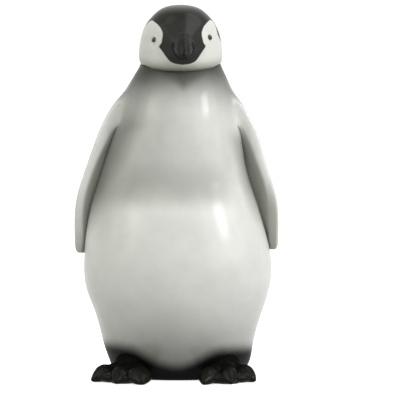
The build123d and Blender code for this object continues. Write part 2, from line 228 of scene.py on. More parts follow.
def flipperSpot(side, station, number, lift, column):  # one cage vert, as side reach, depth and height
    outerOff, outerHeight, innerOff, innerHeight, lead, chord = station
    share = flipper["shares"][column]
    along = share if lift else (0.0, share, share, share, 1.0)[column]
    depth = chord * along - lead
    middle, rise = (outerHeight + innerHeight) / 2, (outerHeight - innerHeight) / 2
    height = middle + rise * lift * (1.0 - flipper["slant"] * along)
    height += flipper["lift"][side] * (1.0 - eased(*flipper["liftSpan"], middle))
    lean = alongKeys(flipper["lean"][side], height)[0]
    outer = bodySide(side, 0.0, outerHeight) + outerOff + lean
    inner = bodySide(side, 0.0, innerHeight) + innerOff + lean
    edge = bodySide(side, -lead, height)
    under = inner - edge if column == 0 or not lift else -flipper["bury"]
    opening = min((number + flipper["foldStart"]) / flipper["blend"], 1.0)
    if lift < 0 and column == 1:
        floor, behind = flipper["fold"][side]
        return bodySide(side, 0.0, height) + floor * innerOff, lead * (behind * opening - 1.0), height
    if lift < 0 and column == 2:
        depth += (flipper["bank"] * lead - depth) * opening
    over = flipper["trail"] + (outer - edge - flipper["trail"]) * (1.0 - along) ** flipper["fall"]
    return bodySide(side, depth, height) + (over * (1 + lift) + under * (1 - lift)) / 2, depth, height


def growFlipper(bm, patch, side, paint):
    inside, reach = [bm.verts.layers.float[mark] for mark in skinMarks]
    for number, station in enumerate(flipper["stations"]):
        patch = growPatch(bm, patch)
        for row, lift in enumerate((1, 0, -1)):
            for column, vert in enumerate(patch[row]):
                x, y, z = flipperSpot(side, station, number, lift, column)
                vert.co = Vector((side * x, y, z)) * mm
                vert[inside] = (1 - lift) / 2
                vert[reach] = min((number + 1) / flipper["blend"], 1.0)
                for face in vert.link_faces:
                    face.material_index = paint


def buildSkin():
    bm = bmesh.new()
    bearing = bm.verts.layers.float.new("bearing")
    for mark in skinMarks:
        bm.verts.layers.float.new(mark)
    crease = bm.edges.layers.float.new("crease_edge")
    sides, gain = torso["sides"], torso["gain"]
    edges, verts = firstRing(bm, sides)
    base = bm.faces[:][0]
    rimEdges = list(edges)
    rows = {}
    for number, height in enumerate(torso["rows"]):
        if number:
            edges, verts = growRing(bm, edges)
        halfWidth, front, back, sway = alongKeys(torso["levels"], height)
        lean = math.tan(math.radians(torso["nod"])) * eased(*torso["nodSpan"], height)
        for vert in verts:
            x = sway + gain * halfWidth * math.cos(vert[bearing])
            y = (back - front) / 2 + gain * (front + back) / 2 * math.sin(vert[bearing])
            side = -1 if x < 0 else 1
            x += side * webSwell(side, y, height)
            vert.co = Vector((x, y, height + y * lean)) * mm
        rows[height] = {round(vert[bearing] * sides / math.tau) % sides: vert for vert in verts}
    top = bmesh.ops.contextual_create(bm, geom=edges)["faces"]
    bmesh.ops.inset_individual(bm, faces=top, thickness=torso["neckInset"] * mm)

    soft, sharp = torso["creases"]
    for edge in rimEdges + edges:
        edge[crease] = soft
    bmesh.ops.inset_individual(bm, faces=[base], thickness=torso["rim"] * mm)
    for edge in base.edges:
        edge[crease] = sharp
    base = bmesh.ops.extrude_discrete_faces(bm, faces=[base])["faces"][0]
    bmesh.ops.translate(bm, verts=base.verts, vec=(0, 0, torso["rebate"] * mm))
    for edge in base.edges:
        edge[crease] = sharp

    for side, paint in ((-1, 1), (1, 2)):
        picks = [(sides // 2 + column if side < 0 else -column) % sides for column in flipper["columns"]]
        patch = [[rows[height][pick] for pick in picks] for height in flipper["rows"]]
        growFlipper(bm, patch, side, paint)
    return subdivided(newPiece("skin", bm), torso["subdivisions"])


def cutFree(name, skin, paint):  # one paint's faces, closed at the cut and shaded as the whole skin
    bm = bmesh.new()
    bm.from_mesh(skin.data)
    bm.normal_update()
    shading = bm.verts.layers.float_vector.new("shading")
    for vert in bm.verts:
        vert[shading] = vert.normal
    others = [face for face in bm.faces if face.material_index != paint]
    bmesh.ops.delete(bm, geom=others, context="FACES")
    for face in bm.faces:
        face.material_index = 0
    rim = [edge for edge in bm.edges if edge.is_boundary]
    filled = bmesh.ops.holes_fill(bm, edges=rim, sides=0)["faces"]
    for face in bmesh.ops.triangulate(bm, faces=filled)["faces"]:
        face.material_index = 1
    piece = newPiece(name, bm)
    mesh = piece.data
    normals = [Vector((0, 0, 0))] * len(mesh.loops)
    kept = mesh.attributes["shading"].data
    for face in mesh.polygons:
        for loop in face.loop_indices:
            vertex = mesh.loops[loop].vertex_index
            normals[loop] = face.normal.copy() if face.material_index else Vector(kept[vertex].vector)
        face.material_index = 0
    mesh.normals_split_custom_set(normals)
    mesh.attributes.remove(mesh.attributes["shading"])
    return piece


skin = buildSkin()
bodyPiece = cutFree("bodyCasting", skin, 0)
rightFlipper = cutFree("rightFlipperCasting", skin, 1)
leftFlipper = cutFree("leftFlipperCasting", skin, 2)
bpy.data.objects.remove(skin)
skinFaces = [len(piece.data.polygons) for piece in (bodyPiece, rightFlipper, leftFlipper)]
print("body and flippers:", skinFaces, "faces")


# head: a dome with a muzzle, chin and eye sockets worked into it

head = {
    "place": (2.0, 0.0, 168.55),
    "nod": 6.0,
    "turn": 3.0,
    "cuts": 31,
    "subdivisions": 1,
    "outline": (  # way from the crown to the base, radius, height
        (-0.155, -9.9, 29.9), (0.0, 0.0, 31.6), (0.155, 9.9, 29.9), (0.301, 17.0, 23.6),
        (0.412, 20.4, 17.2), (0.513, 21.9, 10.8), (0.611, 22.4, 4.4), (0.655, 22.0, 1.4),
        (0.675, 21.5, 0.25), (0.682, 21.1, 0.05), (0.72, 18.0, 0.05), (1.0, 0.0, 0.05),
    ),
    "muzzle": {
        "height": 13.4, "reach": 25.6, "halfWidth": 13.0, "halfHeight": 12.0,
        "core": 0.48, "skirt": 1.15,  # shares of that width and height: full reach, and none
    },
    "chin": {
        "height": 3.6, "depth": 4.5, "proud": 1.4, "tuck": 1.8, "tuckTop": 2.2, "sag": 1.3, "sagTop": 9.0,
        "radius": 22.0, "front": (0.1, 0.75),  # shares of that radius over which it comes in
    },
    "socket": {
        "radius": 4.6, "floor": 1.2, "depth": 0.6, "lidRadius": 2.3, "lidWidth": 0.9, "lidRise": 0.5,
        "middle": 10.0, "upturn": 0.3,  # height in the head that it looks out from, and how much upwards
    },
}

headFrame = (
    Matrix.Translation(Vector(head["place"]))
    @ Matrix.Rotation(math.radians(head["nod"]), 4, "X")
    @ Matrix.Rotation(math.radians(head["turn"]), 4, "Z")
)


def boxCentre(node):
    low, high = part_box(node)
    return (low + high) / 2


eyeSpots = {node: headFrame.inverted() @ (boxCentre(node) / mm) for node in ("right_eye", "left_eye")}


def buildHead():
    bm = bmesh.new()
    bmesh.ops.create_cube(bm, size=2.0)
    bmesh.ops.subdivide_edges(bm, edges=bm.edges[:], cuts=head["cuts"], use_grid_fill=True)
    for vert in bm.verts:
        ray = Vector([math.tan(part * math.pi / 4) for part in vert.co]).normalized()
        radius, height = alongKeys(head["outline"], math.acos(max(-1.0, min(1.0, ray.z))) / math.pi)
        flat = Vector((ray.x, ray.y, 0.0))
        flat = flat.normalized() * radius if flat.length > 1e-6 else flat
        vert.co = (flat.x, flat.y, height)
    piece = subdivided(newPiece("headCasting", bm), head["subdivisions"])

    muzzle, chin, socket = head["muzzle"], head["chin"], head["socket"]
    for vertex in piece.data.vertices:
        spot = vertex.co
        outward = Vector((spot.x, spot.y, socket["upturn"] * (spot.z - socket["middle"]))).normalized()
        if spot.y < 0:
            core, skirt = muzzle["core"], muzzle["skirt"]
            above = spot.z - muzzle["height"]
            away = math.hypot(spot.x / muzzle["halfWidth"], above / muzzle["halfHeight"])
            pull = (1.0 - min(max((away - core) / (skirt - core), 0.0), 1.0)) ** 2
            if -spot.y < muzzle["reach"]:
                spot.y -= (muzzle["reach"] + spot.y) * pull
            facing = eased(*chin["front"], -spot.y / chin["radius"])
            swell = bell(spot.z - chin["height"], chin["depth"]) * facing
            tuck = chin["tuck"] * facing * (1.0 - eased(0.0, chin["tuckTop"], spot.z))
            spot += Vector((spot.x, spot.y, 0)).normalized() * (chin["proud"] * swell - tuck)
            spot.z -= chin["sag"] * facing * facing * (1.0 - eased(0.0, chin["sagTop"], spot.z))
        for centre in eyeSpots.values():
            gap = (spot - centre).length
            if gap < socket["radius"]:
                spot -= outward * socket["depth"] * (1.0 - eased(socket["floor"], socket["radius"], gap))
                spot += outward * socket["lidRise"] * bell(gap - socket["lidRadius"], socket["lidWidth"])
        vertex.co = (headFrame @ spot) * mm
    piece.data.update()
    return piece


headPiece = buildHead()
print("head:", len(headPiece.data.polygons), "faces")


# bill halves, each a row of rings with a flat mouth side

bill = {
    "height": 14.6,  # of its axis at the middle of the head
    "droop": 5.0,
    "seat": 24.2,
    "mouth": -0.4,
    "sides": 24,
    "upper": (  # forward, half width, ridge, mouth edge
        (-1.6, 6.2, 9.0, 0.0), (0.2, 6.1, 9.1, 0.0), (1.2, 5.9, 8.9, 0.0), (2.4, 5.5, 8.3, 0.0),
        (4.2, 5.2, 7.6, 0.0), (7.0, 4.8, 6.4, -0.2), (9.6, 4.1, 4.9, -0.5), (11.8, 3.3, 3.2, -1.0),
        (13.4, 2.4, 1.6, -1.5), (14.4, 1.3, 0.2, -2.0),
    ),
    "lower": (  # forward, half width, mouth edge, depth below it
        (-1.6, 5.5, 0.0, 6.3), (0.0, 5.2, 0.0, 6.0), (3.0, 4.7, 0.0, 5.2), (6.0, 4.0, 0.0, 4.2),
        (9.0, 3.0, 0.0, 2.9), (11.2, 1.8, 0.0, 1.8), (12.3, 0.8, 0.0, 1.0),
    ),
    "lip": 0.25,
    "mouthGap": 0.05,
    "subdivisions": 2,
}

billFrame = (
    headFrame
    @ Matrix.Translation((0, 0, bill["height"]))
    @ Matrix.Rotation(math.radians(90 + bill["droop"]), 4, "X")
    @ Matrix.Translation((0, bill["mouth"], bill["seat"]))
)


def buildBill(name, half):
    bm = bmesh.new()
    stations = []
    for forward, halfWidth, high, low in bill[half]:
        if half == "upper":
            rise, drop, mouth = high - low, bill["lip"], low + bill["lip"] + bill["mouthGap"]
        else:
            rise, drop, mouth = bill["lip"], low, high - bill["lip"] - bill["mouthGap"]
        stations.append(((0, mouth, forward), (1, 0, 0), (0, 1, 0), halfWidth, rise, drop))
    tube(bm, stations, bill["sides"])
    place = Matrix.Scale(mm, 4) @ billFrame @ Matrix.Scale(1 / mm, 4)
    bmesh.ops.transform(bm, matrix=place, verts=bm.verts)
    return subdivided(newPiece(name, bm), bill["subdivisions"])


upperBill = buildBill("upperBillCasting", "upper")
lowerBill = buildBill("lowerBillCasting", "lower")
print("bill halves done")


# eyes: beads with a raised cornea

eye = {
    "radius": 1.52,
    "width": 0.68,  # share of its height
    "cornea": 0.28,
    "corneaWidth": 55.0,  # degrees
}


def eyeOutward(node):  # from the head's axis out through the bead
    return (boxCentre(node) / mm - headFrame @ Vector((0, 0, eyeSpots[node].z))).normalized()


def buildEye(name, node):
    bm = bmesh.new()
    ball(bm, eye["radius"])
    for vert in bm.verts:
        tilt = math.degrees(vert.co.angle(Vector((0, 0, 1))))
        vert.co *= 1.0 + eye["cornea"] / eye["radius"] * bell(tilt, eye["corneaWidth"])
    turn = eyeOutward(node).to_track_quat("Z", "Y").to_matrix().to_4x4()
    size = Matrix.Diagonal((eye["width"] * mm, mm, mm, 1.0))
    bmesh.ops.transform(bm, matrix=Matrix.Translation(boxCentre(node)) @ turn @ size, verts=bm.verts)
    return newPiece(name, bm)


rightEye = buildEye("rightEyeBead", "right_eye")
leftEye = buildEye("leftEyeBead", "left_eye")
print("eyes done")


# feet: three knuckled toes with claws, webs and an instep, melted into one casting

foot = {
    "right": {
        "ankle": (-24.0, -20.0),
        "tips": ((-18.4, -53.0, 1.35), (-32.5, -48.0, 1.0), (-45.5, -36.0, 1.0)),  # place, and how broad
    },
    "left": {
        "ankle": (24.5, -21.0),
        "tips": ((14.0, -53.0, 1.0), (29.0, -49.5, 1.0), (42.0, -37.0, 1.0)),
    },
    "toe": (  # share of its length, height of its middle, half width, rise, drop
        (0.02, 5.2, 6.2, 6.0, 5.2), (0.22, 5.4, 6.0, 5.8, 5.4), (0.42, 5.0, 5.5, 5.2, 5.0),
        (0.56, 4.6, 5.0, 4.7, 4.6), (0.70, 4.5, 5.4, 5.2, 4.5), (0.80, 4.1, 5.0, 4.7, 4.1),
        (0.88, 3.3, 3.7, 3.4, 3.3), (0.94, 2.5, 2.3, 2.4, 2.3), (1.0, 1.7, 0.9, 1.0, 1.0),
    ),
    "sides": 16,
    "keel": 1.35,  # above 1 the toes are ridged
    "instep": {"size": (11.0, 12.5, 13.5), "height": 3.0},
    "web": {"size": (10.5, 10.5, 3.6), "height": 3.0, "along": 0.55},
    "voxel": 0.45,
    "smoothing": 5,
    "sole": 0.4,  # height of its flat underside
}


def buildFoot(name, side):
    bm = bmesh.new()
    ankle = Vector((*foot[side]["ankle"], 0.0))
    tips = []
    for x, y, broad in foot[side]["tips"]:
        tips.append(Vector((x, y, 0.0)))
        way = tips[-1] - ankle
        across = Vector((-way.y, way.x, 0.0)).normalized()
        stations = [
            (ankle + way * share + Vector((0, 0, height)), across, (0, 0, 1), width * broad, rise, drop)
            for share, height, width, rise, drop in foot["toe"]
        ]
        tube(bm, stations, foot["sides"], foot["keel"])
    lumps = [(ankle, foot["instep"])]
    for one, other in zip(tips, tips[1:]):
        lumps.append((ankle.lerp((one + other) / 2, foot["web"]["along"]), foot["web"]))
    for centre, lump in lumps:
        centre = centre + Vector((0, 0, lump["height"]))
        size = Matrix.Diagonal((*(part * mm for part in lump["size"]), 1.0))
        ball(bm, 1.0, Matrix.Translation(centre * mm) @ size)
    piece = newPiece(name, bm)
    melt = piece.modifiers.new("melt", "REMESH")
    melt.mode = "VOXEL"
    melt.voxel_size = foot["voxel"] * mm
    settled(piece)
    bm = bmesh.new()
    bm.from_mesh(piece.data)
    axes = {"use_axis_x": True, "use_axis_y": True, "use_axis_z": True}
    for _ in range(foot["smoothing"]):
        bmesh.ops.smooth_vert(bm, verts=bm.verts, factor=0.5, **axes)
    sole = Vector((0, 0, foot["sole"] * mm))
    everything = bm.verts[:] + bm.edges[:] + bm.faces[:]
    bmesh.ops.bisect_plane(bm, geom=everything, plane_co=sole, plane_no=(0, 0, -1), clear_outer=True)
    bmesh.ops.holes_fill(bm, edges=[edge for edge in bm.edges if edge.is_boundary], sides=0)
    bpy.data.objects.remove(piece)
    return newPiece(name, bm)


rightFoot = buildFoot("rightFootCasting", "right")
leftFoot = buildFoot("leftFootCasting", "left")
print("feet:", len(rightFoot.data.polygons), len(leftFoot.data.polygons), "faces")


# tail: a short wedge with feather grooves

tail = {
    "root": (0.0, 24.0, 20.0),
    "pitch": 32.0,
    "rings": (  # along, half width, half height
        (0.0, 13.0, 6.5), (6.0, 12.2, 5.6), (12.0, 10.6, 4.4),
        (18.0, 8.3, 3.0), (22.0, 6.4, 2.2), (23.8, 5.0, 1.5),
    ),
    "sides": 24,
    "subdivisions": 3,
    "groove": 0.35,  # depth
    "grooveSpan": (5, 14),  # along the tail, where the grooves come in
    "grooveEdge": (0.1, 0.9),  # and how they end at its thin sides
    "featherWidth": 4.4,
    "featherTaper": 0.018,
}


def buildTail(name):
    pitch = math.radians(tail["pitch"])
    way = Vector((0, math.cos(pitch), -math.sin(pitch)))
    up = Vector((0, math.sin(pitch), math.cos(pitch)))
    root = Vector(tail["root"])
    bm = bmesh.new()
    rings = [(root + way * along, (1, 0, 0), up, width, rise, rise) for along, width, rise in tail["rings"]]
    tube(bm, rings, tail["sides"])
    piece = subdivided(newPiece(name, bm), tail["subdivisions"])
    for vertex in piece.data.vertices:
        spot = vertex.co / mm - root
        along, rise = spot.dot(way), spot.dot(up)
        across = spot.x / (1.0 - tail["featherTaper"] * along)
        feather = math.cos(across * math.tau / tail["featherWidth"])
        depth = tail["groove"] * eased(*tail["grooveSpan"], along) * (0.5 + 0.5 * feather)
        vertex.co -= up * depth * mm * (1 if rise > 0 else -1) * eased(*tail["grooveEdge"], abs(rise))
    piece.data.update()
    return piece


tailPiece = buildTail("tailCasting")
print("tail done")


# shader helpers

def addNode(kind, inputs, tree=None, **settings):  # in the tree of what feeds it, where none is given
    links = {key: value for key, value in inputs.items() if isinstance(value, bpy.types.NodeSocket)}
    tree = tree or next(iter(links.values())).id_data
    node = tree.nodes.new("ShaderNode" + kind)
    for key, value in settings.items():
        setattr(node, key, value)
    for key, value in inputs.items():
        if key in links:
            tree.links.new(value, node.inputs[key])
        else:
            node.inputs[key].default_value = value
    return node


def mathNode(operation, *values):
    return addNode("Math", dict(enumerate(values)), operation=operation).outputs[0]


def plus(one, other):
    return mathNode("ADD", one, other)


def minus(one, other):
    return mathNode("SUBTRACT", one, other)


def larger(one, other):
    return mathNode("MAXIMUM", one, other)


def times(product, *factors):
    for factor in factors:
        product = mathNode("MULTIPLY", product, factor)
    return product


def ramp(value, low, high, start=0.0, end=1.0):  # smooth step from start to end
    inputs = {"Value": value, "From Min": low, "From Max": high, "To Min": start, "To Max": end}
    return addNode("MapRange", inputs, interpolation_type="SMOOTHSTEP").outputs["Result"]


def window(spot, limits):  # product of ramps over a spot's measures
    return times(*[ramp(spot[measure], low, high) for measure, low, high in limits])


def noise(where, scale, detail, roughness, distortion=0.0):
    inputs = {"Vector": where, "Scale": scale, "Detail": detail, "Roughness": roughness}
    inputs["Distortion"] = distortion
    return addNode("TexNoise", inputs).outputs[0]


def curve(value, keys, low, high):  # smooth line through keys of (place, level from low to high)
    start, span = keys[0][0], keys[-1][0] - keys[0][0]
    share = mathNode("DIVIDE", minus(value, start), span)
    node = addNode("FloatCurve", {"Value": share})
    points = node.mapping.curves[0].points
    spots = [((place - start) / span, (level - low) / (high - low)) for place, level in keys]
    points[0].location = spots[0]
    points[1].location = spots[-1]
    for spot in spots[1:-1]:
        points.new(*spot)
    for point in points:
        point.handle_type = "AUTO_CLAMPED"
    node.mapping.update()
    return plus(times(node.outputs[0], high - low), low)


def bumped(height, strength, depth):  # the normal, from a relief of some depth in mm
    inputs = {"Height": height, "Strength": strength, "Distance": depth * mm}
    return addNode("Bump", inputs).outputs["Normal"]


def grey(level, yellow=0.0):  # yellow takes off that share of the blue, and a tenth as much of the red
    return (level * (1 - 0.1 * yellow), level, level * (1 - yellow), 1.0)


def blendColour(factor, below, above, kind="MIX"):
    inputs = {0: factor, 6: below, 7: above}  # its sockets for colours
    return addNode("Mix", inputs, data_type="RGBA", blend_type=kind).outputs[2]


def layer(below, mask, level, yellow, strength=1.0):  # a coat of grey over what is below
    return blendColour(times(mask, strength), below, grey(level, yellow))


def newMaterial(name):
    material = bpy.data.materials.new(name)
    material.use_nodes = True
    material.node_tree.nodes.clear()
    return material, material.node_tree


def showShader(shader, output="OutputMaterial"):
    addNode(output, {"Surface": shader.outputs[0]})


def newGroup(name, inputs, outputs):
    tree = bpy.data.node_groups.new(name, "ShaderNodeTree")
    for way, sockets in (("INPUT", inputs), ("OUTPUT", outputs)):
        for label, kind in sockets.items():
            tree.interface.new_socket(name=label, in_out=way, socket_type="NodeSocket" + kind)
    return tree, tree.nodes.new("NodeGroupInput").outputs, tree.nodes.new("NodeGroupOutput").inputs


# paint effects that several materials share; every noise is a scale, a detail and a roughness

sprayGrain = (2.3, 2.0, 0.6)

satin = {
    "peel": (0.85, 3.0, 0.55),
    "cloud": (0.06, 4.0, 0.6),
    "grain": (3.6, 2.0, 0.7),
    "cloudTone": (0.3, 0.7, 0.955, 1.03),  # noise from and to, tone from and to
    "grainTone": (0.25, 0.75, 0.975, 1.02),
    "grainGloss": 0.05,
    "grainHeight": 0.15,
    "relief": 0.3,
    "coatRoughness": 0.2,
}


def makeAirbrush():  # soft painted edge: where the distance is above zero the paint is on
    inputs = {"Vector": "Vector", "Distance": "Float", "Softness": "Float", "Speckle": "Float"}
    tree, given, result = newGroup("airbrushEdge", inputs, {"Mask": "Float"})
    drift = times(minus(noise(given["Vector"], *sprayGrain), 0.5), given["Speckle"])
    share = mathNode("DIVIDE", plus(given["Distance"], drift), given["Softness"])
    tree.links.new(ramp(share, -1.0, 1.0), result["Mask"])
    return tree


def makeLacquer():  # satin lacquer: faint orange peel, uneven gloss and a little depth in the paint
    inputs = {"Vector": "Vector", "Colour": "Color", "Roughness": "Float", "Unevenness": "Float"}
    outputs = {"Colour": "Color", "Roughness": "Float", "Height": "Float"}
    tree, given, result = newGroup("satinLacquer", inputs, outputs)
    peel, cloud, grain = [noise(given["Vector"], *satin[key]) for key in ("peel", "cloud", "grain")]
    swing = times(minus(cloud, 0.5), given["Unevenness"])
    swing = plus(swing, times(minus(grain, 0.5), satin["grainGloss"]))
    tree.links.new(plus(given["Roughness"], swing), result["Roughness"])
    tree.links.new(plus(peel, times(grain, satin["grainHeight"])), result["Height"])
    tone = times(ramp(cloud, *satin["cloudTone"]), ramp(grain, *satin["grainTone"]))
    shade = addNode("CombineColor", {0: tone, 1: tone, 2: tone}).outputs[0]
    tree.links.new(blendColour(1.0, given["Colour"], shade, "MULTIPLY"), result["Colour"])
    return tree


airbrush = makeAirbrush()
lacquer = makeLacquer()


def startPaint(name, place=Matrix()):  # a material, and coordinates in mm from a local frame
    material, tree = newMaterial(name)
    inputs = {
        "Vector": addNode("TexCoord", {}, tree).outputs["Object"],
        "Location": place.to_translation() * mm,
        "Rotation": place.to_euler("XYZ"),
        "Scale": (mm, mm, mm),
    }
    return material, addNode("Mapping", inputs, vector_type="TEXTURE").outputs[0]


def finishPaint(where, colour, roughness, unevenness=0.08, coat=0.6, bump=0.12, specular=0.05):
    inputs = {"Vector": where, "Colour": colour, "Roughness": roughness, "Unevenness": unevenness}
    satinCoat = addNode("Group", inputs, node_tree=lacquer).outputs
    showShader(addNode("BsdfPrincipled", {
        "Base Color": satinCoat["Colour"],
        "Roughness": satinCoat["Roughness"],
        "Normal": bumped(satinCoat["Height"], bump, satin["relief"]),
        "Specular IOR Level": specular,
        "Coat Weight": coat,
        "Coat Roughness": satin["coatRoughness"],
    }))


def sprayed(where, distance, softness, speckle):
    inputs = {"Vector": where, "Distance": distance, "Softness": softness, "Speckle": speckle}
    return addNode("Group", inputs, node_tree=airbrush).outputs["Mask"]


def split(where):
    return addNode("SeparateXYZ", {0: where}).outputs[:3]


# a grey is a level, its yellow and the coat's strength, a spray is a softness and a speckle,
# and "where" lists measures, each with the places from which and to which the coat comes in

bodyPaint = {
    "white": (0.76, 0.05),
    "chest": {"grey": (0.66, 0.06), "where": (("z", 88, 118),)},
    "band": {  # soft shade under the chest
        "grey": (0.4, 0.08, 0.75),
        "where": (("z", 90, 103), ("z", 121, 103), ("y", -14, -27), ("x", 42, 14)),
        "gloss": (0.0, 0.6, 1.0, 0.35),  # mask from and to, gloss from and to
    },
    "back": {"grey": (0.44, 0.09, 0.85), "depth": 9, "spray": (16, 1.5)},
    # painted light: the outer shoulders lightened to the flippers' light grey, where the lamps catch them
    "shoulderLight": {
        "grey": (0.83, 0.04, 0.9),
        "where": (("z", 126, 140), ("z", 162, 154), ("aside", 28, 35), ("y", 10, 0)),
    },
    "fold": {"grey": (0.2, 0.12, 0.9), "where": (("y", 24, 10), ("z", 74, 104)), "lineSpan": (0, 60)},
    "rightFold": {
        "line": (  # height, distance from the middle of the darkest line beside the flipper
            (0, 48.5), (70, 48.5), (88, 45.6), (106, 39.8), (119, 35.2),
            (131, 31.0), (137, 26.6), (147, 23.3), (155, 19.6), (170, 14.0),
        ),
        "inner": (13, 0),
        "outer": (-7, -2),
        "haze": 0.22,  # strength of the wide faint shade round it
        "hazeInner": (34, 6),
        "where": (("x", 1, -1), ("z", 160, 130)),
    },
    "leftFold": {  # the same on the other side, where the shade is narrow
        "line": ((0, 49.0), (73, 48.9), (93, 41.9), (108, 37.3), (128, 32.6), (136, 30.0), (170, 20.0)),
        "inner": (6, 0),
        "strength": 0.5,
        "where": (("z", 136, 126),),
    },
    # grey neck paint, partly painted shade under the chin
    "neck": {
        "grey": (0.064, 0.12),
        "line": (  # across, height
            (-50, 152.5), (-22, 152.5), (-7, 154.5), (8, 156.5), (20, 155.5), (34, 151.0), (50, 150.0),
        ),
        "lineSpan": (140, 160),
        "spray": (14, 1.2),
        "gloss": (0.2, 1.0, 1.0, 0.25),
    },
    "throatShadow": {  # painted shadow of the bill and chin: a dark wedge under the bill
        "grey": (0.03, 0.15, 0.55),
        "tip": (3.8, 156.5),
        "slope": 1.4,
        "spray": (5.5, 0.8),
        "where": (("y", -4, -14),),
    },
    # grey airbrush over the foot of the body, which also serves as painted shade where the belly turns
    # under, reaching higher in the middle
    "low": {"grey": (0.22, 0.1, 0.85), "height": 30.5, "sag": 0.2, "spray": (27, 1.2)},
    "leg": {  # black over the feet
        "grey": (0.006, 0.02),
        "line": (  # across, height
            (-50, 18.8), (-37, 19.3), (-30, 19.0), (-24, 17.8), (-18, 14.8), (-12, 11.5), (-7, 9.9),
            (0, 8.8), (7, 10.3), (12, 12.6), (18, 15.8), (24, 17.6), (30, 17.7), (37, 17.3), (50, 17.0),
        ),
        "lineSpan": (0, 25),
        "fall": (-12, 36, 0, 13),  # depth from and to, drop of that line from and to
        "spray": (4.4, 0.8),
    },
    # light grey of the flippers, raised above the body's white as painted light on their lit outer edges
    "flipper": (0.83, 0.04),
    "trail": {"grey": (0.46, 0.08), "depth": 9, "spray": (10, 1.0)},
    # grey of each flipper's inner face: partly its paint, partly painted shade of the fold against the body
    "inner": {"grey": (0.39, 0.12), "inside": 0.86, "spray": (0.18, 0.04)},
    # painted shade at the flipper tips: strong on the left flipper's front edge, which turns away from the
    # lamps, and faint on the right flipper
    "rightTipShade": {"strength": 0.3, "where": (("z", 84, 66), ("x", 1, -1))},
    "leftTipShade": {
        "strength": 0.85,
        "where": (("z", 110, 89), ("x", -1, 1), ("inside", 0.1, 0.45), ("y", 4, -3)),
    },
    "reach": (0.05, 0.95),  # share of the way from the body's paint to the flipper's
    "gloss": 0.75,
    "roughness": 0.45,
}


def makeBodyPaint():  # one airbrushed coat over the body and both flippers, with painted light and shade in it
    material, where = startPaint("bodyAirbrush")
    x, y, z = split(where)
    aside = mathNode("ABSOLUTE", x)
    marks = [addNode("Attribute", {}, material.node_tree, attribute_name=mark) for mark in skinMarks]
    inside, reach = [mark.outputs["Fac"] for mark in marks]
    spot = {"x": x, "y": y, "z": z, "aside": aside, "inside": inside}

    chest, band, back, shoulderLight = [bodyPaint[key] for key in ("chest", "band", "back", "shoulderLight")]
    colour = layer(grey(*bodyPaint["white"]), window(spot, chest["where"]), *chest["grey"])
    bandMask = window(spot, band["where"])
    colour = layer(colour, bandMask, *band["grey"])
    backMask = sprayed(where, minus(y, back["depth"]), *back["spray"])
    colour = layer(colour, backMask, *back["grey"])
    colour = layer(colour, window(spot, shoulderLight["where"]), *shoulderLight["grey"])

    # shade sprayed into the folds beside the flippers
    fold, right, left = [bodyPaint[key] for key in ("fold", "rightFold", "leftFold")]
    away = minus(curve(z, right["line"], *fold["lineSpan"]), aside)
    core = times(ramp(away, *right["inner"]), ramp(away, *right["outer"]), 1.0 - right["haze"])
    haze = ramp(away, *right["hazeInner"], 0.0, right["haze"])
    rightMask = times(plus(haze, core), window(spot, right["where"]))
    away = minus(curve(z, left["line"], *fold["lineSpan"]), x)
    leftMask = times(ramp(away, *left["inner"]), window(spot, left["where"]), left["strength"])
    shade = times(plus(rightMask, leftMask), window(spot, fold["where"]))
    colour = layer(colour, shade, *fold["grey"])

    # grey neck, partly painted shade, with a painted shadow of the bill under it, and a grey foot, partly
    # painted shade, that ends in black over the toes
    neck, throatShadow, low, leg = [bodyPaint[key] for key in ("neck", "throatShadow", "low", "leg")]
    above = minus(z, curve(x, neck["line"], *neck["lineSpan"]))
    neckMask = sprayed(where, above, *neck["spray"])
    colour = layer(colour, neckMask, *neck["grey"])
    tipAcross, tipHeight = throatShadow["tip"]
    wedge = times(minus(z, tipHeight), throatShadow["slope"])
    wedge = minus(wedge, mathNode("ABSOLUTE", minus(x, tipAcross)))
    throatShadowMask = times(sprayed(where, wedge, *throatShadow["spray"]), window(spot, throatShadow["where"]))
    colour = layer(colour, throatShadowMask, *throatShadow["grey"])
    under = minus(minus(low["height"], z), times(aside, low["sag"]))
    colour = layer(colour, sprayed(where, under, *low["spray"]), *low["grey"])
    edge = minus(curve(x, leg["line"], *leg["lineSpan"]), ramp(y, *leg["fall"]))
    legMask = sprayed(where, minus(edge, z), *leg["spray"])
    colour = layer(colour, legMask, *leg["grey"])

    # the flippers: light outside, lightened as painted light, grey behind, and grey inside and at the tips,
    # partly painted shade
    trail, inner, right, left = [bodyPaint[key] for key in ("trail", "inner", "rightTipShade", "leftTipShade")]
    behind = sprayed(where, minus(y, trail["depth"]), *trail["spray"])
    wing = layer(grey(*bodyPaint["flipper"]), behind, *trail["grey"])
    innerShadeMask = sprayed(where, minus(inside, inner["inside"]), *inner["spray"])
    rightMask, leftMask = [times(window(spot, tip["where"]), tip["strength"]) for tip in (right, left)]
    wing = layer(wing, larger(innerShadeMask, plus(rightMask, leftMask)), *inner["grey"])
    colour = blendColour(ramp(reach, *bodyPaint["reach"]), colour, wing)

    gloss = times(ramp(legMask, 1, 0), ramp(neckMask, *neck["gloss"]), bodyPaint["gloss"])
    gloss = times(gloss, ramp(bandMask, *band["gloss"]))
    finishPaint(where, colour, bodyPaint["roughness"], coat=gloss)
    return material


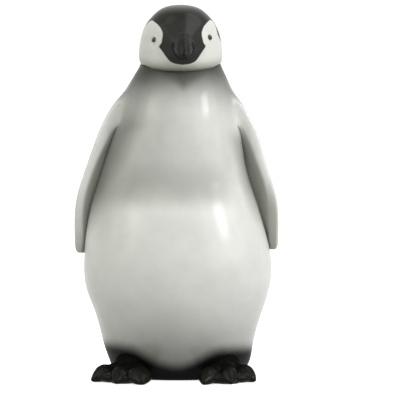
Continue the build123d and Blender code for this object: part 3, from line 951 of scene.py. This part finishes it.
headPaint = {
    "white": (0.74, 0.07),
    "black": {"grey": (0.009, 0.4), "spray": (0.35, 0.35)},
    "mask": (  # height, half width of the black mask round the bill
        (0.0, -4.0), (2.9, -3.0), (3.4, 0.0), (3.8, 3.4), (4.4, 5.5), (5.2, 7.0), (6.7, 8.4), (8.9, 10.0),
        (10.8, 11.4), (12.3, 12.4), (14.3, 11.4), (16.7, 10.8), (19.0, 10.5), (21.0, 11.1), (22.7, 12.3),
        (24.0, 14.2), (25.0, 17.0), (26.2, 24.0), (32.0, 24.0),
    ),
    "maskSpan": (-4, 24),
    "capEdge": 24.5,
    "capBlend": 6.0,  # how softly the cap runs into the nape
    "nape": {"middle": 17.0, "lean": 0.3},
    # how far the nape's black comes forward on the left cheek
    "cheek": {"reach": 6.5, "where": (("z", 7, 15), ("z", 24, 16), ("x", 0, 12))},
    # painted shade under the chin, where the head turns under
    "chin": {"grey": (0.34, 0.18, 0.8), "height": 4.2, "spray": (5.0, 0.5)},
    "finish": {"roughness": 0.4, "coat": 0.35},
}


def makeHeadPaint():
    material, where = startPaint("headBlackAndWhite", headFrame)
    x, y, z = split(where)
    black, nape, cheek, chin = [headPaint[key] for key in ("black", "nape", "cheek", "chin")]
    halfWidth = curve(z, headPaint["mask"], *headPaint["maskSpan"])
    mask = minus(halfWidth, mathNode("ABSOLUTE", x))
    mask = mathNode("MINIMUM", mask, times(y, -1.0))  # at the front only
    lean = times(minus(z, nape["middle"]), nape["lean"])
    forward = times(window({"x": x, "z": z}, cheek["where"]), cheek["reach"])
    behind = plus(y, plus(lean, forward))
    cap = minus(z, headPaint["capEdge"])
    cap = mathNode("SMOOTH_MAX", cap, behind, headPaint["capBlend"])
    chinShadeMask = sprayed(where, minus(chin["height"], z), *chin["spray"])
    colour = layer(grey(*headPaint["white"]), chinShadeMask, *chin["grey"])
    blackMask = sprayed(where, larger(mask, cap), *black["spray"])
    colour = layer(colour, blackMask, *black["grey"])
    finishPaint(where, colour, **headPaint["finish"])
    return material


blackPaint = {
    "yellow": 0.3,
    "wear": (0.35, 5.0, 0.65),
    "thin": (0.35, 0.75),  # of that noise, where the paint is thin
    "thinGain": 1.5,
    "bill": {"level": 0.007, "roughness": 0.42, "gloss": 0.2, "specular": 0.05},
    "foot": {"level": 0.0045, "roughness": 0.5, "gloss": 0.18, "specular": 0.0},
    "instep": (6, 12),  # heights over which the feet go dull
    "instepGloss": 0.018,
}


def makeBlackPaint(name, kind):
    material, where = startPaint(name)
    look, yellow = blackPaint[kind], blackPaint["yellow"]
    thin = ramp(noise(where, *blackPaint["wear"]), *blackPaint["thin"])
    colour = layer(grey(look["level"], yellow), thin, look["level"] * blackPaint["thinGain"], yellow)
    gloss = look["gloss"]
    if kind == "foot":
        gloss = ramp(split(where)[2], *blackPaint["instep"], gloss, blackPaint["instepGloss"])
    finishPaint(where, colour, look["roughness"], coat=gloss, specular=look["specular"])
    return material


eyePaint = {
    "rim": (0.03, 0.1),
    "iris": {"grey": (0.045, 0.3), "front": (1.15, 1.35)},  # mm in front of the bead's middle
    "pupil": {"grey": (0.006, 0.0), "front": (1.62, 1.72)},
    "finish": {"roughness": 0.15, "unevenness": 0.02, "coat": 0.6, "bump": 0.02, "specular": 0.3},
}


def makeEyePaint(name, node):
    material, where = startPaint(name)
    ends = {0: where, 1: boxCentre(node) / mm}
    offset = addNode("VectorMath", ends, operation="SUBTRACT").outputs[0]
    ends = {0: offset, 1: eyeOutward(node)}
    front = addNode("VectorMath", ends, operation="DOT_PRODUCT").outputs["Value"]
    colour = grey(*eyePaint["rim"])
    for ring in (eyePaint["iris"], eyePaint["pupil"]):
        colour = layer(colour, ramp(front, *ring["front"]), *ring["grey"])
    finishPaint(where, colour, **eyePaint["finish"])
    return material


tailPaint = {
    "root": (0.30, 0.08),
    "tip": {"grey": (0.03, 0.05), "depth": 36, "spray": (7, 1.0)},
    "roughness": 0.45,
}


def makeTailPaint():
    material, where = startPaint("tailAirbrush")
    tip = tailPaint["tip"]
    tipMask = sprayed(where, minus(split(where)[1], tip["depth"]), *tip["spray"])
    colour = layer(grey(*tailPaint["root"]), tipMask, *tip["grey"])
    finishPaint(where, colour, tailPaint["roughness"])
    return material


# finishes of the CAD nodes that show as they are

resin = {
    "flow": (0.12, 6.0, 0.6, 0.6),  # scale, detail, roughness, distortion
    "spread": (0.3, 0.7),
    "dark": (0.42, 0.02),
    "light": (0.56, 0.02),
    "finish": {"roughness": 0.6, "unevenness": 0.15, "coat": 0.0, "bump": 0.3},
}


def makeResin():
    material, where = startPaint("castResin")
    flow = ramp(noise(where, *resin["flow"]), *resin["spread"])
    finishPaint(where, layer(grey(*resin["dark"]), flow, *resin["light"]), **resin["finish"])
    return material


felt = {
    "matted": (1.6, 8.0, 0.75, 1.2),
    "hair": {"Scale": 0.9, "Distortion": 14.0, "Detail": 4.0, "Detail Scale": 1.6},
    "hairShare": 0.3,
    "spread": (0.25, 0.75),
    "dark": (0.028, 0.029, 0.032, 1.0),
    "light": (0.085, 0.086, 0.092, 1.0),
    "rough": (0.2, 0.8, 0.9, 1.0),  # noise from and to, roughness from and to
    "relief": (0.7, 0.25),  # strength, depth
    "sheen": (0.35, 0.5),  # weight, roughness
}


def makeFelt():
    material, where = startPaint("pressedFelt")
    matted = noise(where, *felt["matted"])
    hair = addNode("TexWave", {"Vector": where, **felt["hair"]}).outputs[1]
    tone = plus(times(matted, 1.0 - felt["hairShare"]), times(hair, felt["hairShare"]))
    showShader(addNode("BsdfPrincipled", {
        "Base Color": blendColour(ramp(tone, *felt["spread"]), felt["dark"], felt["light"]),
        "Roughness": ramp(matted, *felt["rough"]),
        "Normal": bumped(tone, *felt["relief"]),
        "Sheen Weight": felt["sheen"][0],
        "Sheen Roughness": felt["sheen"][1],
    }))
    return material


steel = {
    "drawn": (0.4, 6.0, 6.0),  # the rod's drawing lines run along X
    "lines": (1.2, 5.0, 0.5),
    "dark": 0.46,
    "light": 0.66,
    "rough": (0.2, 0.8, 0.28, 0.46),
    "relief": (0.2, 0.05),
}


def makeSteel():
    material, where = startPaint("cutSteelRod")
    drawn = addNode("Mapping", {"Vector": where, "Scale": steel["drawn"]}).outputs[0]
    lines = noise(drawn, *steel["lines"])
    showShader(addNode("BsdfPrincipled", {
        "Base Color": blendColour(lines, grey(steel["dark"]), grey(steel["light"])),
        "Metallic": 1.0,
        "Roughness": ramp(lines, *steel["rough"]),
        "Normal": bumped(lines, *steel["relief"]),
    }))
    return material


airbrushed = makeBodyPaint()
billBlack = makeBlackPaint("billBlack", "bill")
footBlack = makeBlackPaint("footBlack", "foot")
pieces = (
    (bodyPiece, airbrushed, "body_paint", "body_shell"),
    (headPiece, makeHeadPaint(), "head_paint", "head_shell"),
    (upperBill, billBlack, "bill_paint", "upper_bill"),
    (lowerBill, billBlack, "bill_paint", "lower_bill"),
    (rightEye, makeEyePaint("rightEyeGlass", "right_eye"), "eye_bead", "right_eye"),
    (leftEye, makeEyePaint("leftEyeGlass", "left_eye"), "eye_bead", "left_eye"),
    (rightFlipper, airbrushed, "flipper_paint", "right_flipper"),
    (leftFlipper, airbrushed, "flipper_paint", "left_flipper"),
    (rightFoot, footBlack, "foot_paint", "right_foot"),
    (leftFoot, footBlack, "foot_paint", "left_foot"),
    (tailPiece, makeTailPaint(), "tail_paint", "tail"),
)
for piece, material, slot, node in pieces:
    piece.data.materials.clear()
    piece.data.materials.append(material)
    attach(piece, "root")
    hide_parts(node)

cadFinishes = (
    (makeResin(), ("base_plate",)),
    (makeFelt(), ("base_felt", "right_sole_felt", "left_sole_felt")),
    (makeSteel(), ("flipper_pins", "foot_pins")),
)
for material, nodes in cadFinishes:
    for node in nodes:
        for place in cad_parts[node].material_slots:
            place.material = material
print("materials on", len(pieces), "pieces and on the CAD nodes that show")


# studio: pale floor, key and fill lights, soft panels above and behind, and the photo's camera

studio = {
    "floorSize": 12.0,
    "floorGrey": 0.4,  # as it lights the object
    "floorSeen": 0.95,  # as the camera sees it
    "floorWhite": 0.8,  # plain white that is seen on top of the lit floor
    "sky": 0.3,
    "middle": 100.0,  # height that the lamps aim at
    "target": (12.4, 0.0, 95.2),
    "distance": 4000.0,
    "elevation": 4.2,
    "frameWidth": 215.0,
    "lamps": (  # name, azimuth, elevation, distance, width, height, watts, yellow
        ("keyStrip", 58, 26.5, 0.9, 0.18, 0.27, 1.6, 0.0),
        ("keyPanel", 60, 24, 1.2, 1.2, 1.2, 7.7, 0.0),
        ("fillStrip", -57, 30, 0.9, 0.28, 0.3, 0.65, 0.08),
        ("fillPanel", -62, 28, 1.2, 1.2, 1.2, 4.0, 0.08),
        ("topPanel", 88, 63, 1.1, 0.6, 0.6, 2.0, 0.0),
        ("browPanel", -48, 56, 1.1, 0.8, 0.8, 2.0, 0.08),
        ("backPanel", 175, 40, 1.4, 1.6, 1.6, 2.8, 0.0),
    ),
}


def seenRays(tree):  # rays from the camera, and those with the ones that show in gloss and glass
    path = addNode("LightPath", {}, tree).outputs
    mirrored = larger(path["Is Glossy Ray"], path["Is Transmission Ray"])
    return path["Is Camera Ray"], larger(path["Is Camera Ray"], mirrored)


def makeFloor():
    bm = bmesh.new()
    bmesh.ops.create_grid(bm, x_segments=1, y_segments=1, size=studio["floorSize"] / 2)
    floor = newPiece("studioFloor", bm)
    material, tree = newMaterial("paleFloor")
    direct, seen = seenRays(tree)
    level = blendColour(direct, grey(studio["floorGrey"]), grey(studio["floorSeen"]))
    plain = addNode("BsdfDiffuse", {"Color": level})
    strength = times(seen, studio["floorWhite"])
    white = addNode("Emission", {"Color": grey(1.0), "Strength": strength})
    showShader(addNode("AddShader", {0: plain.outputs[0], 1: white.outputs[0]}))
    floor.data.materials.append(material)


def makeSky():
    world = bpy.data.worlds.new("studioSky")
    world.use_nodes = True
    tree = world.node_tree
    tree.nodes.clear()
    strength = ramp(seenRays(tree)[1], 0, 1, studio["sky"], 1.0)
    sky = addNode("Background", {"Color": grey(1.0), "Strength": strength})
    showShader(sky, "OutputWorld")
    bpy.context.scene.world = world


def towards(azimuth, elevation):  # from the object, azimuth 0 is the front and 90 its left side
    flat = math.cos(math.radians(elevation))
    side, front = math.sin(math.radians(azimuth)), math.cos(math.radians(azimuth))
    return Vector((side * flat, -front * flat, math.sin(math.radians(elevation))))


def aim(thing, spot, target):
    thing.location = spot
    thing.rotation_euler = (target - spot).to_track_quat("-Z", "Y").to_euler()
    bpy.context.scene.collection.objects.link(thing)


makeFloor()
makeSky()
middle = Vector((0, 0, studio["middle"] * mm))
for name, azimuth, elevation, distance, width, height, watts, yellow in studio["lamps"]:
    lamp = bpy.data.lights.new(name, "AREA")
    lamp.shape = "RECTANGLE"
    lamp.size = width
    lamp.size_y = height
    lamp.energy = watts
    lamp.color = grey(1.0, yellow)[:3]
    aim(bpy.data.objects.new(name, lamp), middle + towards(azimuth, elevation) * distance, middle)

lens = bpy.data.cameras.new("photoCamera")
lens.angle = 2 * math.atan(studio["frameWidth"] / 2 / studio["distance"])
camera = bpy.data.objects.new("photoCamera", lens)
target = Vector(studio["target"]) * mm
aim(camera, target + towards(0, studio["elevation"]) * studio["distance"] * mm, target)
bpy.context.scene.camera = camera
bpy.context.scene.view_settings.view_transform = "Standard"
print("studio ready")
